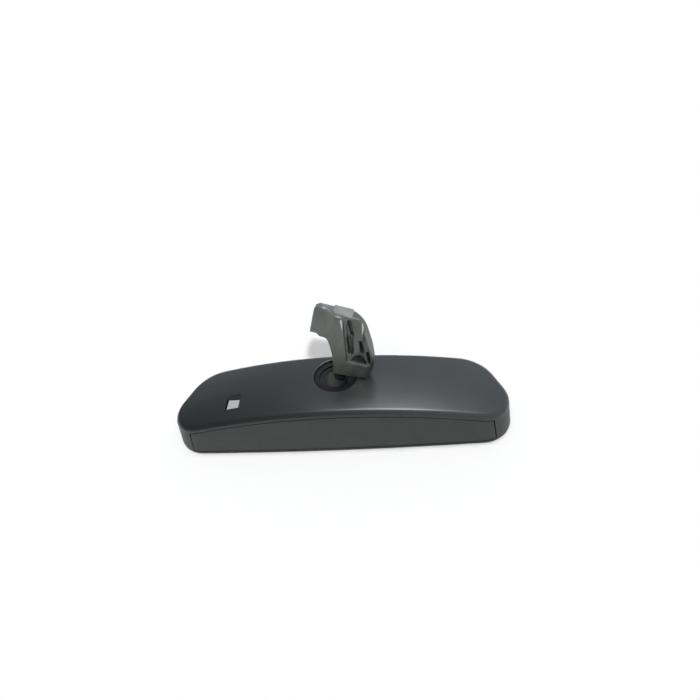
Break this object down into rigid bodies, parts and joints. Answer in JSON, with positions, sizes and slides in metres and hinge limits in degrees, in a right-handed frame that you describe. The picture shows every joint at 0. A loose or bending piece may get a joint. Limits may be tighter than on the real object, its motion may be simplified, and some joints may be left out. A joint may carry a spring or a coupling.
{
  "type": "interior rearview mirror",
  "caption": "Auto-dimming interior rearview mirror lying on its glass: curved plastic housing with a trim panel, sensor window and ball joint to a cast windscreen arm.",
  "frame": {"origin": "middle of the footprint on the resting plane, under the glass side", "axes": "+X along the mirror, +Y across it to the shorter edge, +Z from the glass to the arm"},
  "size_m": [0.25, 0.068, 0.1116],
  "materials": {
    "housing_plastic": "fine moulded satin",
    "panel_plastic": "fine moulded satin",
    "bezel_plastic": "fine moulded satin",
    "clear_glass": "polished",
    "gel_seal": "matt",
    "mirror_glass": "polished",
    "contact_metal": "tinned",
    "foam": "matt",
    "inner_plastic": "moulded",
    "board": "solder mask",
    "chip": "moulded",
    "header_plastic": "moulded",
    "sensor": "clear lens",
    "window_plastic": "milky diffuser",
    "lens": "polished",
    "steel": "zinc plated",
    "dark_screw": "black oxide",
    "white_plastic": "acetal",
    "ring_rubber": "matt",
    "stud_steel": "olive zinc plated",
    "plate_zinc": "dull zinc plated",
    "cast_alloy": "as cast, shot blasted"
  },
  "bodies": {
    "mirror_body": {"rear_housing": "housing_plastic", "lower_trim_panel": "panel_plastic", "bezel": "bezel_plastic", "front_glass": "clear_glass", "cell_seal": "gel_seal", "rear_glass": "mirror_glass", "bus_clips": "contact_metal", "foam_tape": "foam", "glass_carrier": "inner_plastic", "circuit_board": "board", "board_components": "chip", "connector_header": "header_plastic", "header_pins": "contact_metal", "board_screws": "steel", "ambient_sensor": "sensor", "sensor_window": "window_plastic", "glare_sensor": "sensor", "glare_lens": "lens", "socket_plate": "steel", "socket_screws": "steel", "ball_socket": "inner_plastic", "retaining_collar": "steel", "ball_seat": "white_plastic", "seat_spring": "steel", "opening_ring": "ring_rubber"},
    "liner_body": {"ball_liner": "inner_plastic"},
    "stud_body": {"ball_stud": "stud_steel"},
    "arm_body": {"arm": "cast_alloy", "foot_plate": "plate_zinc", "socket_sleeve": "steel", "lock_screw": "dark_screw", "grub_screw": "dark_screw"}
  },
  "joints": [
    {"name": "mirror_tilt", "type": "hinge", "parent": "mirror_body", "child": "liner_body", "pos_m": [0.0011, 0.0033, 0.035], "axis": [1, 0, 0], "range_deg": [-11, 11]},
    {"name": "mirror_pan", "type": "hinge", "parent": "liner_body", "child": "stud_body", "pos_m": [0.0011, 0.0033, 0.035], "axis": [0, 1, 0], "range_deg": [-34, 0]},
    {"name": "arm_swivel", "type": "hinge", "parent": "stud_body", "child": "arm_body", "pos_m": [0.0011, 0.0033, 0.035], "axis": [0.3073, -0.0323, 0.9511], "continuous": true}
  ]
}
